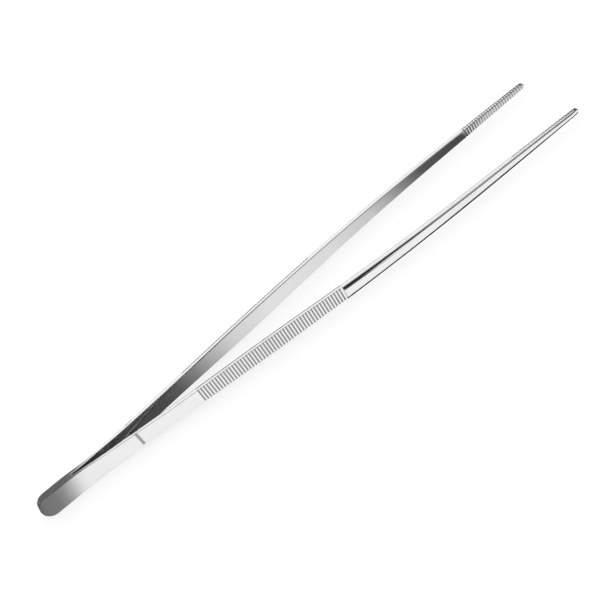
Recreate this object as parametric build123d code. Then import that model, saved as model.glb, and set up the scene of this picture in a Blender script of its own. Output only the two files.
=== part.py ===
from build123d import *
from math import cos, radians, sin, sqrt, tan
import os

# Long straight tweezers, lying on one side: the two arms spread along Y, the strip width is along Z.
# All lengths are in millimetres. "u" is the distance along the tool from the butt end.

# Overall
LENGTH = 300.0
BUTT_WIDTH = 11.2

# Inner face of an arm, seen along Z: welded root, root bend, straight leg, long bow, straight jaw
ROOT_END = 20.0
ROOT_BEND_RADIUS = 60.0
SPREAD_ANGLE = radians(5.6)
BOW_START = 150.0
BOW_END = 245.0
JAW_ANGLE = radians(0.8)

# Strip thickness: the spring part behind the grip is ground thinner, and the jaw tapers
BUTT_THICKNESS = 2.2
SPRING_THICKNESS = 1.75
GRIP_THICKNESS = 2.2
TIP_THICKNESS = 1.9
SPRING_START = 30.0
SPRING_END = 48.0
FULL_THICKNESS_START = 75.0
BUTT_EDGE_RADIUS = 0.7

# Where the ground outer face is sampled for its smooth curves
SPRING_STATIONS = (ROOT_END, 23.0, 26.0, SPRING_START, 38.0, SPRING_END)
SWELL_STATIONS = (60.0, 66.0, FULL_THICKNESS_START)

# Strip width, as (u, width), between the round butt end and the round tip
BUTT_FLAT_START = BUTT_WIDTH / 2
BUTT_FLAT_END = 15.0
WIDTHS = [(33.0, 9.1), (68.0, 7.8), (122.0, 8.5), (190.0, 6.7), (265.0, 4.4)]
NOSE_START = 297.4
NOSE_WIDTH = 2.9

# Ribbed grip on the outer face
GRIP_START = 85.1
GRIP_END = 162.7
RIB_COUNT = 51
RIB_GROOVE_WIDTH = 0.85
RIB_GROOVE_DEPTH = 0.25
GROOVE_FLOOR_START = 0.3  # the flat floor of a rib or tooth groove, as shares of its width
GROOVE_FLOOR_END = 0.7
BOW_STATIONS = (GRIP_END, 180.0, 200.0, 222.0, BOW_END)

# Serrated jaw on the inner face
JAW_START = 261.0
JAW_END = 299.0
TOOTH_COUNT = 25
TOOTH_GROOVE_WIDTH = 0.9
TOOTH_GROOVE_DEPTH = 0.3

# Pressed groove across the outer face, and the crown that makes the jaw half round
GROOVE_CENTRE = 53.0
GROOVE_WIDTH = 1.8
GROOVE_DEPTH = 0.22
CROWN_START = GRIP_END + 0.4
CROWN_ROUND_START = 293.0
CROWN_END = 299.6
CROWN_RISE = 1.1
CROWN_TIP_RISE = 0.7
CROWN_LEDGE = 0.12
CROWN_ROOT = 0.5
CROWN_STEPS = 10
CROWN_ROUND_STEPS = 5

# Flexure, where an arm is divided from its tang
HINGE_U = 48.0
HINGE_NOSE_RADIUS = 1.15
HINGE_CLEARANCE = 0.03

# Two spot welds hold the butt together
WELD_CENTRES = {"weld_nugget_rear": 6.5, "weld_nugget_front": 14.5}
WELD_RADIUS = 1.5
WELD_DEPTH = 0.6
WELD_CLEARANCE = 0.02

REACH = 60.0  # half size of cutting solids, larger than any side of the tool


def inner_face(u):
    """Distance of the arm's inner face from the middle plane."""
    bend_end = ROOT_END + ROOT_BEND_RADIUS * sin(SPREAD_ANGLE)
    bend_rise = ROOT_BEND_RADIUS * (1 - cos(SPREAD_ANGLE))
    bow_radius = (BOW_END - BOW_START) / (sin(SPREAD_ANGLE) - sin(JAW_ANGLE))
    leg_rise = bend_rise + (BOW_START - bend_end) * tan(SPREAD_ANGLE)
    if u <= ROOT_END:
        return 0.0
    if u <= bend_end:
        return ROOT_BEND_RADIUS - sqrt(ROOT_BEND_RADIUS**2 - (u - ROOT_END) ** 2)
    if u <= BOW_START:
        return bend_rise + (u - bend_end) * tan(SPREAD_ANGLE)
    if u <= BOW_END:
        slope_sine = sin(SPREAD_ANGLE) - (u - BOW_START) / bow_radius
        return leg_rise + bow_radius * (sqrt(1 - slope_sine**2) - cos(SPREAD_ANGLE))
    bow_rise = leg_rise + bow_radius * (cos(JAW_ANGLE) - cos(SPREAD_ANGLE))
    return bow_rise + (u - BOW_END) * tan(JAW_ANGLE)


def smooth_step(u, start, end):
    """0 before start, 1 after end, smooth between."""
    fraction = min(max((u - start) / (end - start), 0.0), 1.0)
    return fraction * fraction * (3 - 2 * fraction)


def thickness(u):
    """Strip thickness, measured along Y."""
    thinned = (SPRING_THICKNESS - BUTT_THICKNESS) * smooth_step(u, ROOT_END, SPRING_START)
    regained = (GRIP_THICKNESS - SPRING_THICKNESS) * smooth_step(u, SPRING_END, FULL_THICKNESS_START)
    taper = max(u - GRIP_END, 0.0) / (LENGTH - GRIP_END)
    return BUTT_THICKNESS + thinned + regained + (TIP_THICKNESS - GRIP_THICKNESS) * taper


def outer_face(u):
    return inner_face(u) + thickness(u)


def inner_point(u, depth=0.0):
    return (u, inner_face(u) + depth)


def outer_point(u, depth=0.0):
    return (u, outer_face(u) - depth)


def grooved_points(point, start, end, count, width, depth):
    """Corners of evenly spaced flat-bottomed V grooves along a face."""
    pitch = (end - start) / count
    corners = []
    for index in range(count):
        left = start + index * pitch + (pitch - width) / 2
        corners.append(point(left))
        corners.append(point(left + width * GROOVE_FLOOR_START, depth))
        corners.append(point(left + width * GROOVE_FLOOR_END, depth))
        corners.append(point(left + width))
    return corners


def closed_face(lines):
    """Face bounded by lines that meet end to end."""
    edges = []
    for line in lines:
        edges.extend(line.edges())
    return make_face(Wire(edges))


def inner_edges():
    """Inner edge of the side profile, from the butt to the tip."""
    bend_end = ROOT_END + ROOT_BEND_RADIUS * sin(SPREAD_ANGLE)
    teeth = grooved_points(
        inner_point, JAW_START, JAW_END, TOOTH_COUNT, TOOTH_GROOVE_WIDTH, TOOTH_GROOVE_DEPTH
    )
    return [
        Line(inner_point(0), inner_point(ROOT_END)),
        ThreePointArc(
            inner_point(ROOT_END), inner_point((ROOT_END + bend_end) / 2), inner_point(bend_end)
        ),
        Line(inner_point(bend_end), inner_point(BOW_START)),
        ThreePointArc(
            inner_point(BOW_START), inner_point((BOW_START + BOW_END) / 2), inner_point(BOW_END)
        ),
        Polyline(inner_point(BOW_END), *teeth, inner_point(LENGTH)),
    ]


def outer_edges():
    """Outer edge of the side profile, from the butt to the tip."""
    ribs = grooved_points(
        outer_point, GRIP_START, GRIP_END, RIB_COUNT, RIB_GROOVE_WIDTH, RIB_GROOVE_DEPTH
    )
    groove_start = GROOVE_CENTRE - GROOVE_WIDTH / 2
    groove_end = GROOVE_CENTRE + GROOVE_WIDTH / 2
    round_middle = BUTT_EDGE_RADIUS * (1 - cos(radians(45)))
    return [
        Line((0, 0), (0, BUTT_THICKNESS - BUTT_EDGE_RADIUS)),
        ThreePointArc(
            (0, BUTT_THICKNESS - BUTT_EDGE_RADIUS),
            (round_middle, BUTT_THICKNESS - round_middle),
            (BUTT_EDGE_RADIUS, BUTT_THICKNESS),
        ),
        Line((BUTT_EDGE_RADIUS, BUTT_THICKNESS), outer_point(ROOT_END)),
        Spline(*[outer_point(u) for u in SPRING_STATIONS + (groove_start,)]),
        ThreePointArc(
            outer_point(groove_start), outer_point(GROOVE_CENTRE, GROOVE_DEPTH), outer_point(groove_end)
        ),
        Spline(*[outer_point(u) for u in (groove_end,) + SWELL_STATIONS]),
        Polyline(outer_point(FULL_THICKNESS_START), *ribs, outer_point(GRIP_END)),
        Spline(*[outer_point(u) for u in BOW_STATIONS]),
        Line(outer_point(BOW_END), outer_point(LENGTH)),
        Line(outer_point(LENGTH), inner_point(LENGTH)),
    ]


def side_solid():
    """The strip seen along Z, at full butt width all the way."""
    return extrude(closed_face(inner_edges() + outer_edges()), BUTT_WIDTH / 2, both=True)


def plan_solid():
    """Width outline of the strip, with its round butt and round tip."""
    half = BUTT_WIDTH / 2
    nose_half = NOSE_WIDTH / 2
    upper = [(BUTT_FLAT_END, half)] + [(u, width / 2) for u, width in WIDTHS] + [(NOSE_START, nose_half)]
    lower = [(u, -z) for u, z in reversed(upper)]
    taper = (upper[-1][0] - upper[-2][0], upper[-1][1] - upper[-2][1])
    outline = [
        ThreePointArc((BUTT_FLAT_START, -half), (0, 0), (BUTT_FLAT_START, half)),
        Line((BUTT_FLAT_START, half), (BUTT_FLAT_END, half)),
        Spline(*upper, tangents=[(1, 0), taper]),
        EllipticalCenterArc((NOSE_START, 0), LENGTH - NOSE_START, nose_half, 90, arc_size=-180),
        Spline(*lower, tangents=[(-taper[0], taper[1]), (-1, 0)]),
        Line((BUTT_FLAT_END, -half), (BUTT_FLAT_START, -half)),
    ]
    return extrude(Plane.XZ * closed_face(outline), REACH, both=True)


def strip_width(u):
    """Width of the plan outline between the grip and the tip."""
    stations = WIDTHS[2:] + [(NOSE_START, NOSE_WIDTH), (LENGTH, NOSE_WIDTH / 2)]
    for (u_low, w_low), (u_high, w_high) in zip(stations, stations[1:]):
        if u <= u_high:
            return w_low + (w_high - w_low) * (u - u_low) / (u_high - u_low)
    return NOSE_WIDTH / 2


def crown_section(u, rise):
    """Segment of a circle that stands on the outer face at u."""
    half = strip_width(u) / 2 - CROWN_LEDGE
    plane = Plane(origin=(u, outer_face(u), 0), x_dir=(0, 0, -1), z_dir=(1, 0, 0))
    corners = [(-half, 0), (-half, -CROWN_ROOT), (half, -CROWN_ROOT), (half, 0)]
    outline = [Polyline(*corners), ThreePointArc((half, 0), (0, rise), (-half, 0))]
    return plane * closed_face(outline)


def crown_rise(u):
    """Height of the crown over the outer face: a slow taper, then a round end at the tip."""
    along = (u - CROWN_START) / (LENGTH - CROWN_START)
    past = max(u - CROWN_ROUND_START, 0.0) / (LENGTH - CROWN_ROUND_START)
    return (CROWN_RISE + (CROWN_TIP_RISE - CROWN_RISE) * along) * sqrt(1 - past**2)


def crown():
    """Half-round back of the jaw, from the grip to the tip."""
    stations = []
    for index in range(CROWN_STEPS + 1):
        stations.append(CROWN_START + (CROWN_ROUND_START - CROWN_START) * index / CROWN_STEPS)
    for index in range(1, CROWN_ROUND_STEPS + 1):
        quarter_turn = radians(90) * index / CROWN_ROUND_STEPS
        stations.append(CROWN_ROUND_START + (CROWN_END - CROWN_ROUND_START) * sin(quarter_turn))
    return loft([crown_section(u, crown_rise(u)) for u in stations], ruled=True)


def hinge_centre():
    return (HINGE_U, inner_face(HINGE_U) + thickness(HINGE_U) / 2)


def front_region(nose_radius):
    """Everything in front of the flexure, with a round nose about the hinge axis."""
    u, y = hinge_centre()
    ahead = Pos(u + LENGTH, y, 0) * Box(2 * LENGTH, 2 * REACH, 2 * REACH)
    nose = Pos(u, y, 0) * Cylinder(nose_radius, 2 * REACH)
    return ahead + nose


def weld_pockets():
    pockets = []
    for u in WELD_CENTRES.values():
        pockets.append(Pos(u, 0, 0) * Rot(X=90) * Cylinder(WELD_RADIUS, 2 * WELD_DEPTH))
    return pockets


def weld_nugget(u):
    radius = WELD_RADIUS - WELD_CLEARANCE
    height = 2 * (WELD_DEPTH - WELD_CLEARANCE)
    return Pos(u, 0, 0) * Rot(X=90) * Cylinder(radius, height)


def placed(shape):
    """From the butt frame to the part's own frame: centre of the length, on the lower edge."""
    return Pos(-LENGTH / 2, 0, BUTT_WIDTH / 2) * shape


def main():
    strip = (side_solid() + crown()) & plan_solid()
    moving = strip & front_region(HINGE_NOSE_RADIUS)
    tang = strip - front_region(HINGE_NOSE_RADIUS + HINGE_CLEARANCE) - weld_pockets()
    nodes = {
        "far_arm": moving,
        "far_arm_tang": tang,
        "near_arm": mirror(moving, about=Plane.XZ),
        "near_arm_tang": mirror(tang, about=Plane.XZ),
    }
    for name, u in WELD_CENTRES.items():
        nodes[name] = weld_nugget(u)
    os.makedirs("parts", exist_ok=True)
    for name, shape in nodes.items():
        export_step(placed(shape), f"parts/{name}.step")
    hinge_u, hinge_y = hinge_centre()
    print("hinge axis at x", round(hinge_u - LENGTH / 2, 3), "y", round(hinge_y, 3))
    print("half gap at the tips", round(inner_face(LENGTH), 3))


main()
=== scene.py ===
from math import cos, pi, radians, sin, sqrt, tan

import bmesh
import bpy
from mathutils import Matrix, Vector


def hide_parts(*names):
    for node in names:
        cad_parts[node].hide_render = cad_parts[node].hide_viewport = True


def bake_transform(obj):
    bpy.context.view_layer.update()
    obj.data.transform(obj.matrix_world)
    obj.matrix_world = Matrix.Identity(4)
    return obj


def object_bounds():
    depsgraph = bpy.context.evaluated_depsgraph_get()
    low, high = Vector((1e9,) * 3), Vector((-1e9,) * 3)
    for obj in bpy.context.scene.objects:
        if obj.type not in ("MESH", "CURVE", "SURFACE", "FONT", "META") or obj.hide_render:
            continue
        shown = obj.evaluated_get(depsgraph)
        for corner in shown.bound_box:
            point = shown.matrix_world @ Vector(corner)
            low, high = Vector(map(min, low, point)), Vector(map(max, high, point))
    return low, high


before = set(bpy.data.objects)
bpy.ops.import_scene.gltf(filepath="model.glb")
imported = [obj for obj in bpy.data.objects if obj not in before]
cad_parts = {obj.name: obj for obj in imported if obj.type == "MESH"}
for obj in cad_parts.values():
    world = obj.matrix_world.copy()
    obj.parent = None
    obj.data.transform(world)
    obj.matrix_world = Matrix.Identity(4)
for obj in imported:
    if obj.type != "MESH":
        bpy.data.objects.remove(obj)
cad_box = [list(corner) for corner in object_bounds()]

# The tweezers lie on one side: length along X, spread along Y, strip width along Z.
# Shape values are in millimetres. "u" runs from the butt end to the tips.
MM = 0.001
LOW, HIGH = (Vector(corner) for corner in cad_box)
LENGTH = (HIGH.x - LOW.x) / MM
BUTT_WIDTH = (HIGH.z - LOW.z) / MM
BUTT_X = LOW.x
MID_Z = (LOW.z + HIGH.z) / 2
SIDES = (("near", -1), ("far", 1))

# Inner face of an arm, seen along Z
ROOT_END = 20.0
ROOT_BEND_RADIUS = 60.0
SPREAD_ANGLE = radians(5.6)
BOW_START = 150.0
BOW_END = 245.0
JAW_ANGLE = radians(0.8)

# Strip thickness and width
BUTT_THICKNESS = 2.2
SPRING_THICKNESS = 1.75
GRIP_THICKNESS = 2.2
TIP_THICKNESS = 1.9
SPRING_START = 30.0
SPRING_END = 48.0
FULL_THICKNESS_START = 75.0
BUTT_EDGE_RADIUS = 0.7
BUTT_FLAT_END = 15.0
WIDTHS = [(33.0, 9.1), (68.0, 7.8), (122.0, 8.5), (190.0, 6.7), (265.0, 4.4)]
NOSE_START = 297.4
NOSE_WIDTH = 2.9
OUTER_EDGE_RADIUS = 0.25
CROWN_EDGE_RADIUS = 0.12
INNER_EDGE_RADIUS = 0.58
SEAM_EDGE_RADIUS = 0.05

# Steps of the cross-section: across the outer face, round an edge and across the inner face
FACE_STEPS = 22
CORNER_STEPS = 4
INNER_STEPS = 4
CORNER_TURNS = [pi / 2 * step / CORNER_STEPS for step in range(CORNER_STEPS + 1)]
INNER_POINTS = 2 * (CORNER_STEPS + 1) + INNER_STEPS - 1

# The inner faces are ground back where the arms part, which gives the slot a round end
RELIEF_DEPTH = 0.42
RELIEF_RUN_IN = 1.5
RELIEF_END = 50.0

# Ribbed grip, serrated jaw, pressed groove and half-round back
GRIP_START = 85.1
GRIP_END = 162.7
RIB_COUNT = 51
RIB_GROOVE_WIDTH = 0.85
RIB_GROOVE_DEPTH = 0.25
JAW_START = 261.0
JAW_END = 299.0
TOOTH_COUNT = 25
TOOTH_GROOVE_WIDTH = 0.9
TOOTH_GROOVE_DEPTH = 0.3
GROOVE_CENTRE = 53.0
GROOVE_WIDTH = 1.8
GROOVE_DEPTH = 0.22
CROWN_START = GRIP_END + 0.4
CROWN_ROUND_START = 293.0
CROWN_RISE = 1.1
CROWN_TIP_RISE = 0.7

# Half the floor, half the top and the rim of a rib or tooth groove, as shares of its width
GROOVE_FLOOR = 0.16
GROOVE_TOP = 0.54
GROOVE_RIM = 0.56
GROOVE_WALL = (GROOVE_TOP, 0.45, 0.35, 0.25, GROOVE_FLOOR)

# How quickly the steel turns dull, and darker with painted shade, going down into a groove
RIB_SHADE_AND_DULLING = 1.9
TOOTH_SHADE_AND_DULLING = 0.8

# Camera: azimuth from +Y towards +X, elevation, roll, distance and where it aims
CAMERA_AZIMUTH = radians(9.16)
CAMERA_ELEVATION = radians(39.8)
CAMERA_ROLL = radians(-33.3)
CAMERA_DISTANCE = 0.4834
CAMERA_OFFSET = (-0.00217, -0.00181)
CAMERA_LENS = 63.9

# Studio cards: strength of light along each one, set until the greys of the steel
# came close to the photograph's. The first numbers are millimetres from the butt end (u),
# except in WALL_STOPS, where they are millimetres along X.
FRONT_STOPS = [(0, 0.19), (8, 0.23), (12, 0.33), (16, 0.55), (20, 0.85), (24, 1.0), (330, 1.0)]
FURTHER_STOPS = [(0, 0.19), (8, 0.23), (12, 0.33), (16, 0.55), (20, 0.85), (24, 1.0), (158, 1.0),
                 (165, 0.03), (178, 0.05), (198, 0.8), (215, 1.0), (330, 1.0)]
BEHIND_STOPS = [(0, 0.12), (20, 0.18), (60, 0.42), (140, 0.62), (200, 0.45), (262, 0.2), (330, 0.45)]
BETWEEN_STOPS = [(40, 0.065), (72, 0.075), (82, 0.12), (92, 0.26), (103, 0.5), (115, 0.74),
                 (140, 0.88), (180, 0.81), (202, 0.68), (212, 0.5), (224, 0.26), (236, 0.11),
                 (264, 0.065), (267, 0.8), (330, 0.8)]
BUTT_STOPS = [(-60, 0.13), (12, 0.14), (22, 0.22), (34, 1.05)]
WALL_STOPS = [(-1200, 0.05), (180, 0.02), (262, 0.3), (420, 0.3), (500, 0.05), (1200, 0.05)]

# Strength of the even cards
DARK = 0.02
DIM_WALL = 0.08
DIM_FLOOR = 0.16

# Where the cards on the floor end, in millimetres from the middle plane or from an arm
FRONT_REACH = 22
FURTHER_REACH = 130
HORIZON_REACH = 700
BEHIND_REACH = 500
BUTT_CARD_REACH = 30
CARD_LIFT = 0.0002
CARD_STEPS = 40

# The card curved over the butt end: radius in metres, panel angles in degrees, ends in u
CANOPY_RADIUS = 0.045
CANOPY_PANELS = 8
CANOPY_FIRST_ANGLE = 14
CANOPY_PANEL_ANGLE = 15
CANOPY_START = -60
CANOPY_END = 34


def mix(first, second, share):
    """first at share 0, second at share 1."""
    return first + (second - first) * share


def smooth_step(value, start, end):
    """0 before start, 1 after end, smooth between."""
    fraction = min(max((value - start) / (end - start), 0.0), 1.0)
    return fraction * fraction * (3 - 2 * fraction)


def inner_face(u):
    """Distance of an arm's inner face from the middle plane."""
    bend_end = ROOT_END + ROOT_BEND_RADIUS * sin(SPREAD_ANGLE)
    bend_rise = ROOT_BEND_RADIUS * (1 - cos(SPREAD_ANGLE))
    bow_radius = (BOW_END - BOW_START) / (sin(SPREAD_ANGLE) - sin(JAW_ANGLE))
    leg_rise = bend_rise + (BOW_START - bend_end) * tan(SPREAD_ANGLE)
    if u <= ROOT_END:
        return 0.0
    if u <= bend_end:
        return ROOT_BEND_RADIUS - sqrt(ROOT_BEND_RADIUS**2 - (u - ROOT_END) ** 2)
    if u <= BOW_START:
        return bend_rise + (u - bend_end) * tan(SPREAD_ANGLE)
    if u <= BOW_END:
        slope_sine = sin(SPREAD_ANGLE) - (u - BOW_START) / bow_radius
        return leg_rise + bow_radius * (sqrt(1 - slope_sine**2) - cos(SPREAD_ANGLE))
    bow_rise = leg_rise + bow_radius * (cos(JAW_ANGLE) - cos(SPREAD_ANGLE))
    return bow_rise + (u - BOW_END) * tan(JAW_ANGLE)


def thickness(u):
    thinned = (SPRING_THICKNESS - BUTT_THICKNESS) * smooth_step(u, ROOT_END, SPRING_START)
    regained = (GRIP_THICKNESS - SPRING_THICKNESS) * smooth_step(u, SPRING_END, FULL_THICKNESS_START)
    taper = max(u - GRIP_END, 0.0) / (LENGTH - GRIP_END)
    return BUTT_THICKNESS + thinned + regained + (TIP_THICKNESS - GRIP_THICKNESS) * taper


def width(u):
    """Width of the strip, with its round butt and round tip."""
    butt_radius = BUTT_WIDTH / 2
    if u < butt_radius:
        return 2 * sqrt(butt_radius**2 - (butt_radius - u) ** 2)
    if u <= BUTT_FLAT_END:
        return BUTT_WIDTH
    if u >= NOSE_START:
        past = (u - NOSE_START) / (LENGTH - NOSE_START)
        return NOSE_WIDTH * sqrt(max(1 - past**2, 0.0))
    stations = [(BUTT_FLAT_END, BUTT_WIDTH)] + WIDTHS + [(NOSE_START, NOSE_WIDTH)]
    return smooth_table(stations, u)


def smooth_table(stations, u):
    """Cubic curve through (u, value) stations, flat at the first one."""
    slopes = [0.0]
    for before, here, after in zip(stations, stations[1:], stations[2:]):
        rise_before = (here[1] - before[1]) / (here[0] - before[0])
        rise_after = (after[1] - here[1]) / (after[0] - here[0])
        slopes.append((rise_before + rise_after) / 2)
    slopes.append((stations[-1][1] - stations[-2][1]) / (stations[-1][0] - stations[-2][0]))
    for index in range(len(stations) - 1):
        start, value = stations[index]
        end, next_value = stations[index + 1]
        if u <= end:
            span = end - start
            t = (u - start) / span
            bend = (1 - t) ** 2 * t * slopes[index] * span - t * t * (1 - t) * slopes[index + 1] * span
            return value + (next_value - value) * t * t * (3 - 2 * t) + bend
    return stations[-1][1]


def groove_depth(u, start, end, count, groove_width, depth):
    """Depth of a row of flat-bottomed V grooves at u."""
    if not start < u < end:
        return 0.0
    pitch = (end - start) / count
    from_centre = abs((u - start) % pitch - pitch / 2)
    return depth * (1 - smooth_step(from_centre, groove_width * GROOVE_FLOOR, groove_width * GROOVE_TOP))


def rib_depth(u):
    return groove_depth(u, GRIP_START, GRIP_END, RIB_COUNT, RIB_GROOVE_WIDTH, RIB_GROOVE_DEPTH)


def tooth_depth(u):
    return groove_depth(u, JAW_START, JAW_END, TOOTH_COUNT, TOOTH_GROOVE_WIDTH, TOOTH_GROOVE_DEPTH)


def pressed_depth(u):
    away = abs(u - GROOVE_CENTRE) / (GROOVE_WIDTH / 2)
    return GROOVE_DEPTH * (1 - smooth_step(away, 0.1, 1.3))


def relief(u):
    """How far the inner face is ground back near the end of the slot."""
    opening = smooth_step(u, ROOT_END, ROOT_END + RELIEF_RUN_IN)
    closing = smooth_step(u, SPRING_START, RELIEF_END)
    return RELIEF_DEPTH * opening * (1 - closing)


def butt_round(u):
    """How much the round outer edge of the butt end takes off the thickness."""
    if u >= BUTT_EDGE_RADIUS:
        return 0.0
    return BUTT_EDGE_RADIUS - sqrt(BUTT_EDGE_RADIUS**2 - (BUTT_EDGE_RADIUS - u) ** 2)


def crown_rise(u):
    """Height of the half-round back over the flat face."""
    along = (u - CROWN_START) / (LENGTH - CROWN_START)
    past = max(u - CROWN_ROUND_START, 0.0) / (LENGTH - CROWN_ROUND_START)
    rise = mix(CROWN_RISE, CROWN_TIP_RISE, along) * sqrt(max(1 - past**2, 0.0))
    return rise * smooth_step(u, CROWN_START - 0.1, CROWN_START + 0.35)


def spread(start, end, count):
    """count evenly spaced values from start up to, but not including, end."""
    return [start + (end - start) * index / count for index in range(count)]


def groove_stations(start, end, count, groove_width):
    """Stations that catch every flat, wall and floor of a row of grooves."""
    pitch = (end - start) / count
    rim = groove_width * GROOVE_RIM
    stations = []
    for index in range(count):
        left = start + index * pitch
        centre = left + pitch / 2
        stations.append(left)
        stations.append(left + (pitch / 2 - rim))
        stations.extend(centre - groove_width * share for share in GROOVE_WALL)
        stations.extend(centre + groove_width * share for share in reversed(GROOVE_WALL))
        stations.append(centre + rim)
    return stations


def stations_along():
    """Where the strip's cross-sections stand, from the butt end to the tip."""
    butt_radius = BUTT_WIDTH / 2
    stations = [butt_radius * (1 - cos(radians(angle))) for angle in range(6, 90, 6)]
    stations += [0.15, 0.3, 0.5, BUTT_EDGE_RADIUS]
    stations += spread(butt_radius, ROOT_END, 6)
    stations += spread(ROOT_END, ROOT_END + RELIEF_RUN_IN, 6)
    stations += spread(ROOT_END + RELIEF_RUN_IN, SPRING_START, 12)
    stations += spread(SPRING_START, GROOVE_CENTRE - GROOVE_WIDTH, 10)
    stations += spread(GROOVE_CENTRE - GROOVE_WIDTH, GROOVE_CENTRE + GROOVE_WIDTH, 20)
    stations += spread(GROOVE_CENTRE + GROOVE_WIDTH, GRIP_START, 12)
    stations += groove_stations(GRIP_START, GRIP_END, RIB_COUNT, RIB_GROOVE_WIDTH)
    stations += spread(GRIP_END, CROWN_START + 0.4, 8)
    stations += spread(CROWN_START + 0.4, JAW_START, 40)
    stations += groove_stations(JAW_START, JAW_END, TOOTH_COUNT, TOOTH_GROOVE_WIDTH)
    stations += [NOSE_START + (LENGTH - NOSE_START) * sin(radians(angle)) for angle in range(0, 89, 8)]
    return sorted(set(round(station, 4) for station in stations))


def edge_radii(u, half, thick):
    """Rounding of the strip's inner and outer edges at u."""
    largest = min(half * 0.4, thick * 0.3)
    opened = smooth_step(u, ROOT_END - 2, ROOT_END + 4)
    crowned = smooth_step(u, GRIP_END - 1, CROWN_START)
    inner_radius = mix(SEAM_EDGE_RADIUS, INNER_EDGE_RADIUS, opened)
    outer_radius = mix(OUTER_EDGE_RADIUS, CROWN_EDGE_RADIUS, crowned)
    return min(inner_radius, largest), min(outer_radius, largest)


def inner_side(inner, half, radius):
    """Points of the inner face and its two round edges, from low to high."""
    points = []
    for turn in CORNER_TURNS:
        points.append((inner + radius * (1 - sin(turn)), -half + radius * (1 - cos(turn))))
    for step in range(1, INNER_STEPS):
        points.append((inner, (half - radius) * (step / (INNER_STEPS / 2) - 1)))
    for turn in CORNER_TURNS:
        points.append((inner + radius * (1 - cos(turn)), half - radius * (1 - sin(turn))))
    return points


def outer_side(outer, half, radius, rise):
    """Points of the outer face, flat or crowned, and its two round edges, from high to low."""
    flat = half - radius
    points = []
    for turn in CORNER_TURNS[:-1]:
        points.append((outer - radius * (1 - sin(turn)), half - radius * (1 - cos(turn))))
    for step in range(FACE_STEPS + 1):
        across = pi * step / FACE_STEPS
        points.append((outer + rise * sin(across), flat * cos(across)))
    for turn in reversed(CORNER_TURNS[:-1]):
        points.append((outer - radius * (1 - sin(turn)), -half + radius * (1 - cos(turn))))
    return points


def section(u):
    """Closed cross-section at u, as (y from the middle plane, z from mid-width), seen from the butt."""
    half = width(u) / 2
    thick = thickness(u) - butt_round(u)
    inner_radius, outer_radius = edge_radii(u, half, thick)
    inner = inner_face(u) + tooth_depth(u) + relief(u)
    outer = inner_face(u) + thick - rib_depth(u) - pressed_depth(u)
    return inner_side(inner, half, inner_radius) + outer_side(outer, half, outer_radius, crown_rise(u))


def hollowness(u, index):
    """1 on the floor of a groove and 0 on an untouched face, for the painted shade that darkens the
    grooves and for their duller gloss.
    """
    if index < INNER_POINTS:
        return tooth_depth(u) / TOOTH_GROOVE_DEPTH * TOOTH_SHADE_AND_DULLING
    if index < INNER_POINTS + CORNER_STEPS - 1:
        return 0.0
    return max(min(RIB_SHADE_AND_DULLING * rib_depth(u) / RIB_GROOVE_DEPTH, 1.0), pressed_depth(u) / GROOVE_DEPTH)


def strip_rings(shape, side):
    """The strip's cross-sections as rings of vertices, side -1 near and +1 far."""
    hollow = shape.verts.layers.float.new("hollow")
    rings = []
    for u in stations_along():
        ring = []
        for index, (y, z) in enumerate(section(u)):
            corner = shape.verts.new((BUTT_X + u * MM, side * y * MM, MID_Z + z * MM))
            corner[hollow] = hollowness(u, index)
            ring.append(corner)
        rings.append(ring)
    return rings


def skin(shape, rings):
    """Faces from each ring to the next, and one over each end."""
    for ring, following in zip(rings, rings[1:]):
        for index in range(len(ring)):
            after = (index + 1) % len(ring)
            shape.faces.new((ring[index], ring[after], following[after], following[index]))
    shape.faces.new(rings[0])
    shape.faces.new(rings[-1])
    bmesh.ops.recalc_face_normals(shape, faces=shape.faces)
    for face in shape.faces:
        face.smooth = True


def build_leaf(name, side):
    """One arm of the tweezers, with its half of the butt, as a single strip."""
    shape = bmesh.new()
    skin(shape, strip_rings(shape, side))
    mesh = bpy.data.meshes.new(name)
    shape.to_mesh(mesh)
    shape.free()
    mesh.set_sharp_from_angle(angle=radians(38))
    leaf = bpy.data.objects.new(name, mesh)
    bpy.context.collection.objects.link(leaf)
    weighted = leaf.modifiers.new("weighted_normals", "WEIGHTED_NORMAL")
    weighted.keep_sharp = True
    weighted.weight = 80
    return leaf


def node_link(tree, source, target):
    tree.links.new(source, target)


def noise(tree, place, scale, detail):
    """Noise over object coordinates, stretched by a different scale along each axis."""
    stretch = tree.nodes.new("ShaderNodeMapping")
    stretch.inputs["Scale"].default_value = scale
    node_link(tree, place.outputs["Object"], stretch.inputs["Vector"])
    texture = tree.nodes.new("ShaderNodeTexNoise")
    texture.inputs["Scale"].default_value = 1.0
    texture.inputs["Detail"].default_value = detail
    node_link(tree, stretch.outputs["Vector"], texture.inputs["Vector"])
    return texture.outputs["Fac"]


def ramp(tree, factor, low, low_colour, high, high_colour):
    """Colour that runs from low_colour to high_colour as the factor goes from low to high."""
    node = tree.nodes.new("ShaderNodeValToRGB")
    node.color_ramp.elements[0].position = low
    node.color_ramp.elements[0].color = (*low_colour, 1)
    node.color_ramp.elements[1].position = high
    node.color_ramp.elements[1].color = (*high_colour, 1)
    node_link(tree, factor, node.inputs["Fac"])
    return node.outputs["Color"]


def rescale(tree, value, low, high):
    """The middle of a noise, 0.3 to 0.7, turned into low to high."""
    node = tree.nodes.new("ShaderNodeMapRange")
    node.inputs["From Min"].default_value = 0.3
    node.inputs["From Max"].default_value = 0.7
    node.inputs["To Min"].default_value = low
    node.inputs["To Max"].default_value = high
    node_link(tree, value, node.inputs["Value"])
    return node.outputs["Result"]


def add(tree, first, second):
    node = tree.nodes.new("ShaderNodeMath")
    node.operation = "ADD"
    node_link(tree, first, node.inputs[0])
    node_link(tree, second, node.inputs[1])
    return node.outputs["Value"]


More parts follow.
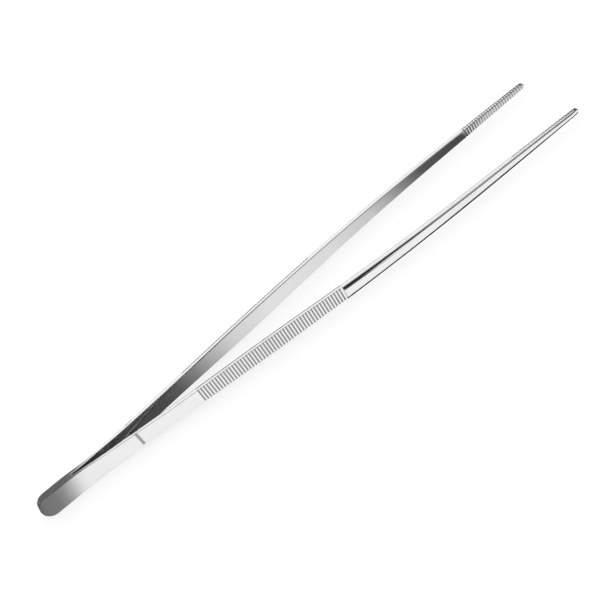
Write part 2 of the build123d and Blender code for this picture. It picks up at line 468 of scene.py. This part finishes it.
def relief_bump(tree, height, strength, below=None):
    node = tree.nodes.new("ShaderNodeBump")
    node.inputs["Strength"].default_value = strength
    node.inputs["Distance"].default_value = 0.0001
    node_link(tree, height, node.inputs["Height"])
    if below is not None:
        node_link(tree, below, node.inputs["Normal"])
    return node.outputs["Normal"]


def new_metal(name):
    material = bpy.data.materials.new(name)
    material.use_nodes = True
    tree = material.node_tree
    tree.nodes["Principled BSDF"].inputs["Metallic"].default_value = 1.0
    return material, tree, tree.nodes.new("ShaderNodeTexCoord")


def polished_steel():
    """Polished stainless steel: lengthwise grain, hairlines, uneven gloss, and duller grooves darkened
    with painted shade.
    """
    material, tree, place = new_metal("polished_steel")
    shader = tree.nodes["Principled BSDF"]
    grain = noise(tree, place, (60, 2600, 2600), 4.0)
    hairline = noise(tree, place, (130, 9000, 9000), 2.0)
    cloud = noise(tree, place, (45, 45, 45), 3.0)
    smudge = noise(tree, place, (120, 260, 260), 5.0)

    unshaded_tone = ramp(tree, cloud, 0.3, (0.82, 0.82, 0.825), 0.7, (0.87, 0.87, 0.87))
    hollow = tree.nodes.new("ShaderNodeAttribute")
    hollow.attribute_name = "hollow"
    # Painted shade: the colour turns dark grey towards the floor of each rib, tooth and pressed groove.
    painted_groove_shade = tree.nodes.new("ShaderNodeMix")
    painted_groove_shade.data_type = "RGBA"
    painted_groove_shade.inputs["B"].default_value = (0.3, 0.3, 0.305, 1)
    node_link(tree, hollow.outputs["Fac"], painted_groove_shade.inputs["Factor"])
    node_link(tree, unshaded_tone, painted_groove_shade.inputs["A"])
    node_link(tree, painted_groove_shade.outputs["Result"], shader.inputs["Base Color"])

    polish = add(tree, rescale(tree, grain, 0.07, 0.13), rescale(tree, smudge, 0.0, 0.05))
    dulled = tree.nodes.new("ShaderNodeMath")
    dulled.operation = "MULTIPLY_ADD"
    node_link(tree, hollow.outputs["Fac"], dulled.inputs[0])
    dulled.inputs[1].default_value = 0.2
    node_link(tree, polish, dulled.inputs[2])
    node_link(tree, dulled.outputs["Value"], shader.inputs["Roughness"])

    coarse = relief_bump(tree, grain, 0.045)
    node_link(tree, relief_bump(tree, hairline, 0.025, coarse), shader.inputs["Normal"])
    return material


def weld_steel():
    """Fused steel of a spot weld: dull and pitted, with straw and blue heat colours."""
    material, tree, place = new_metal("weld_steel")
    shader = tree.nodes["Principled BSDF"]
    heat = noise(tree, place, (500, 500, 500), 3.0)
    pits = noise(tree, place, (3000, 3000, 3000), 4.0)
    colour = ramp(tree, heat, 0.38, (0.3, 0.33, 0.42), 0.62, (0.55, 0.47, 0.36))
    node_link(tree, colour, shader.inputs["Base Color"])
    node_link(tree, rescale(tree, pits, 0.35, 0.6), shader.inputs["Roughness"])
    node_link(tree, relief_bump(tree, pits, 0.3), shader.inputs["Normal"])
    return material


def graded_glow(name, stops):
    """Light of a strength that runs through (millimetres along X, strength) stops."""
    material = bpy.data.materials.new(name)
    material.use_nodes = True
    tree = material.node_tree
    tree.nodes.clear()
    place = tree.nodes.new("ShaderNodeTexCoord")
    split = tree.nodes.new("ShaderNodeSeparateXYZ")
    node_link(tree, place.outputs["Object"], split.inputs["Vector"])
    along = tree.nodes.new("ShaderNodeMapRange")
    along.inputs["From Min"].default_value = stops[0][0] * MM
    along.inputs["From Max"].default_value = stops[-1][0] * MM
    node_link(tree, split.outputs["X"], along.inputs["Value"])
    gradient = tree.nodes.new("ShaderNodeValToRGB")
    span = stops[-1][0] - stops[0][0]
    while len(gradient.color_ramp.elements) < len(stops):
        gradient.color_ramp.elements.new(0.5)
    for element, (distance, strength) in zip(gradient.color_ramp.elements, stops):
        element.position = (distance - stops[0][0]) / span
        element.color = (strength, strength, strength, 1)
    node_link(tree, along.outputs["Result"], gradient.inputs["Fac"])
    glow = tree.nodes.new("ShaderNodeEmission")
    node_link(tree, gradient.outputs["Color"], glow.inputs["Color"])
    out = tree.nodes.new("ShaderNodeOutputMaterial")
    node_link(tree, glow.outputs["Emission"], out.inputs["Surface"])
    return material


def stage_panel(name, corners, material):
    mesh = bpy.data.meshes.new(name)
    mesh.from_pydata(corners, [], [tuple(range(len(corners)))])
    mesh.materials.append(material)
    panel = bpy.data.objects.new(name, mesh)
    bpy.context.collection.objects.link(panel)
    return panel


def studio_card(name, corners, material):
    """A photographer's card: the steel reflects it, and nothing else sees it."""
    card = stage_panel(name, corners, material)
    card.visible_camera = False
    card.visible_diffuse = False
    card.visible_transmission = False
    card.visible_shadow = False
    return card


def strip_on_floor(name, near_line, far_line, first, last, material):
    """A card lying on the floor between two curves y = line(u), from u first to last."""
    height = LOW.z + CARD_LIFT
    us = [first + (last - first) * step / CARD_STEPS for step in range(CARD_STEPS + 1)]
    low_side = [(BUTT_X + u * MM, near_line(u) * MM, height) for u in us]
    high_side = [(BUTT_X + u * MM, far_line(u) * MM, height) for u in reversed(us)]
    return studio_card(name, low_side + high_side, material)


def along_strip(stops):
    """Stops given by u, turned into stops along X."""
    return [(BUTT_X / MM + u, strength) for u, strength in stops]


def even_glow(name, strength):
    """Light of the same strength everywhere."""
    return graded_glow(name, [(-1, strength), (1, strength)])


def outside(u):
    """Where the arm's outer face meets the floor."""
    u = min(max(u, 0.0), LENGTH)
    return inner_face(u) + thickness(u) + crown_rise(u) * 0.5


def inside(u):
    """Where the arm's inner face meets the floor."""
    return inner_face(min(max(u, 0.0), LENGTH)) + 0.3


def shade_edge(u):
    """Outer edge of the dark card under an arm, further out where the arm stands higher over the floor."""
    at_crown = 1.7 * smooth_step(u, GRIP_END - 1, GRIP_END + 1)
    towards_tip = 1.9 * smooth_step(u, GRIP_END, 285)
    return outside(u) + at_crown + towards_tip


def front_edge(u):
    """Front edge of the front card, where the further card begins."""
    return -outside(u) - FRONT_REACH


def straight(y):
    """An edge that keeps the same y all along."""
    return lambda u: y


def on_side(side, edge):
    """An edge given for the far arm, on the side that is asked for."""
    return lambda u: side * edge(u)


def floor_cards():
    """Cards on the floor: dark under the arms, light in front of them, graded between and behind."""
    front = graded_glow("front_card_glow", along_strip(FRONT_STOPS))
    further = graded_glow("further_card_glow", along_strip(FURTHER_STOPS))
    behind = graded_glow("behind_card_glow", along_strip(BEHIND_STOPS))
    between = graded_glow("between_card_glow", along_strip(BETWEEN_STOPS))
    horizon = graded_glow("horizon_card_glow", WALL_STOPS)
    dim = even_glow("dim_card_glow", DIM_FLOOR)
    dark = even_glow("dark_card_glow", DARK)
    for name, side in SIDES:
        outer_edge = on_side(side, shade_edge)
        inner_edge = on_side(side, inside)
        strip_on_floor(name + "_shade_card", outer_edge, inner_edge, -3, 303, dark)
    near_shade = on_side(-1, shade_edge)
    near_inside = on_side(-1, inside)
    further_edge = straight(-FURTHER_REACH)
    horizon_edge = straight(-HORIZON_REACH)
    strip_on_floor("front_card", front_edge, near_shade, 0, 315, front)
    strip_on_floor("further_card", further_edge, front_edge, 0, 330, further)
    strip_on_floor("horizon_card", horizon_edge, further_edge, -500, 1300, horizon)
    strip_on_floor("behind_card", shade_edge, straight(BEHIND_REACH), -200, 500, behind)
    strip_on_floor("between_card", near_inside, inside, 18, 315, between)
    butt_edge = straight(-BUTT_CARD_REACH)
    strip_on_floor("butt_end_card", butt_edge, straight(BUTT_CARD_REACH), -60, 0, dim)


def wall_card(name, start, end, top, material):
    """A card standing on the floor from start to end, both (x, y), up to top."""
    points = [(*start, LOW.z), (*end, LOW.z), (*end, top), (*start, top)]
    return studio_card(name, points, material)


def butt_canopy():
    """A dim card curved over the butt end, from the far side over the top to the near side."""
    glow = graded_glow("butt_canopy_glow", along_strip(BUTT_STOPS))
    first = BUTT_X + CANOPY_START * MM
    last = BUTT_X + CANOPY_END * MM
    for index in range(CANOPY_PANELS):
        low = radians(CANOPY_FIRST_ANGLE + CANOPY_PANEL_ANGLE * index)
        high = radians(CANOPY_FIRST_ANGLE + CANOPY_PANEL_ANGLE * (index + 1))
        corners = []
        for x, turn in ((first, low), (last, low), (last, high), (first, high)):
            corners.append((x, CANOPY_RADIUS * cos(turn), LOW.z + CANOPY_RADIUS * sin(turn)))
        studio_card("butt_canopy_" + str(index), corners, glow)


def studio_cards():
    """Cards that only reflections see. They give the polished steel its light and dark bands."""
    floor_cards()
    butt_canopy()
    near_glow = graded_glow("near_wall_glow", WALL_STOPS)
    dark = even_glow("dark_wall_glow", DARK)
    dim = even_glow("dim_wall_glow", DIM_WALL)
    behind_butt = BUTT_X - 0.06
    beyond_tips = HIGH.x + 0.1
    wall_card("near_wall_card", (-1.2, -0.7), (1.2, -0.7), 2.2, near_glow)
    wall_card("far_wall_card", (-1.2, 0.9), (1.2, 0.9), 0.62, dark)
    wall_card("butt_wall_card", (behind_butt, -0.07), (behind_butt, 0.07), 0.09, dark)
    wall_card("tip_wall_card", (beyond_tips, -0.08), (beyond_tips, 0.3), 0.165, dim)


def floor():
    """A pale floor that is partly lit from within, so that shadows on it stay faint."""
    material = bpy.data.materials.new("pale_floor")
    material.use_nodes = True
    shader = material.node_tree.nodes["Principled BSDF"]
    shader.inputs["Base Color"].default_value = (0.32, 0.32, 0.32, 1)
    shader.inputs["Roughness"].default_value = 0.9
    shader.inputs["Specular IOR Level"].default_value = 0.0
    shader.inputs["Emission Color"].default_value = (1, 1, 1, 1)
    shader.inputs["Emission Strength"].default_value = 0.7
    reach = 3.0
    corners = [(-reach, -reach), (reach, -reach), (reach, reach), (-reach, reach)]
    stage_panel("floor", [(x, y, LOW.z) for x, y in corners], material)


def studio():
    """Soft white light from all round. There are no lamps."""
    world = bpy.data.worlds.new("studio_world")
    world.use_nodes = True
    world.node_tree.nodes["Background"].inputs["Color"].default_value = (1, 1, 1, 1)
    world.node_tree.nodes["Background"].inputs["Strength"].default_value = 1.05
    bpy.context.scene.world = world
    bpy.context.scene.view_settings.view_transform = "Standard"


def camera():
    """The photograph's view, with the camera rolled so that the tweezers lie across the picture."""
    view = bpy.data.cameras.new("camera")
    view.lens = CAMERA_LENS
    view.sensor_width = 36.0
    view.clip_start = 0.01
    holder = bpy.data.objects.new("camera", view)
    az, el, roll = CAMERA_AZIMUTH, CAMERA_ELEVATION, CAMERA_ROLL
    forward = Vector((sin(az) * cos(el), cos(az) * cos(el), -sin(el)))
    level = Vector((cos(az), -sin(az), 0))
    upright = level.cross(forward)
    right = level * cos(roll) + upright * sin(roll)
    up = upright * cos(roll) - level * sin(roll)
    aim = (LOW + HIGH) / 2 + right * CAMERA_OFFSET[0] + up * CAMERA_OFFSET[1]
    turn = Matrix((right, up, -forward)).transposed()
    holder.matrix_world = Matrix.Translation(aim - forward * CAMERA_DISTANCE) @ turn.to_4x4()
    bpy.context.collection.objects.link(holder)
    bpy.context.scene.camera = holder


def arms():
    steel = polished_steel()
    for name, side in SIDES:
        leaf = build_leaf(name + "_leaf", side)
        leaf.data.materials.append(steel)
        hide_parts(name + "_arm", name + "_arm_tang")
        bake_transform(leaf)


def welds():
    """The weld nuggets are the CAD's own solids, between the two tangs."""
    fused = weld_steel()
    for name in ("weld_nugget_rear", "weld_nugget_front"):
        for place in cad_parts[name].material_slots:
            place.material = fused


camera()
studio()
floor()
studio_cards()
arms()
welds()
